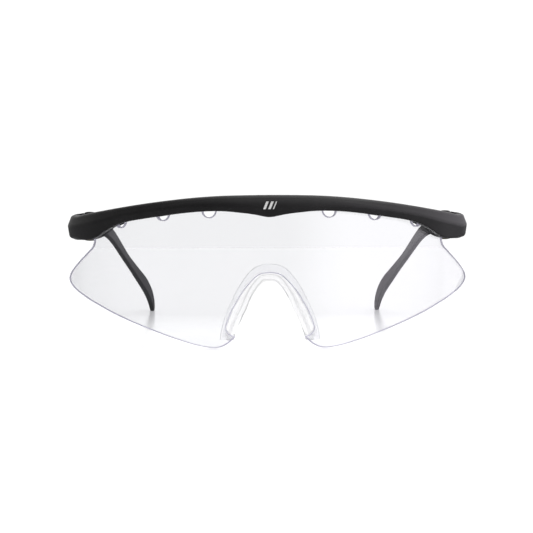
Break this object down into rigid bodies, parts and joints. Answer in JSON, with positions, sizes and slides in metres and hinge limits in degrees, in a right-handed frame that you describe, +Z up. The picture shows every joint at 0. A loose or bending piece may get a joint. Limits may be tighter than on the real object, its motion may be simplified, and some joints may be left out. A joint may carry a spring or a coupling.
{
  "type": "sports protective goggles",
  "caption": "Racquet-sport protective eyewear: clear wrap shield in a half-frame brow bar, soft nose pad, two folding temples.",
  "frame": {"origin": "middle of the bottom of the bounding box, on the table plane the goggles rest on", "axes": "+X to the viewer's right facing the front, -Y out of the front of the lens, +Y towards the temple tips, +Z up"},
  "size_m": [0.1546, 0.1484, 0.0555],
  "materials": {
    "frame_nylon": "satin",
    "temple_nylon": "satin",
    "lens_polycarbonate": "gloss",
    "pad_elastomer": "satin",
    "screw_steel": "satin",
    "insert_brass": "satin"
  },
  "bodies": {
    "front": {"brow_frame": "frame_nylon", "shield_lens": "lens_polycarbonate", "nose_pad": "pad_elastomer", "hinge_screw_left": "screw_steel", "hinge_screw_right": "screw_steel", "hinge_insert_left": "insert_brass", "hinge_insert_right": "insert_brass"},
    "temple_left": {"temple_arm_left": "temple_nylon"},
    "temple_right": {"temple_arm_right": "temple_nylon"}
  },
  "joints": [
    {"name": "temple_right_hinge", "type": "hinge", "parent": "front", "child": "temple_right", "pos_m": [0.0688, -0.02517, 0.04171], "axis": [0, 0.2588, 0.9659], "range_deg": [0, 88]},
    {"name": "temple_left_hinge", "type": "hinge", "parent": "front", "child": "temple_left", "pos_m": [-0.0688, -0.02517, 0.04171], "axis": [0, 0.2588, 0.9659], "range_deg": [-79, 0]}
  ]
}
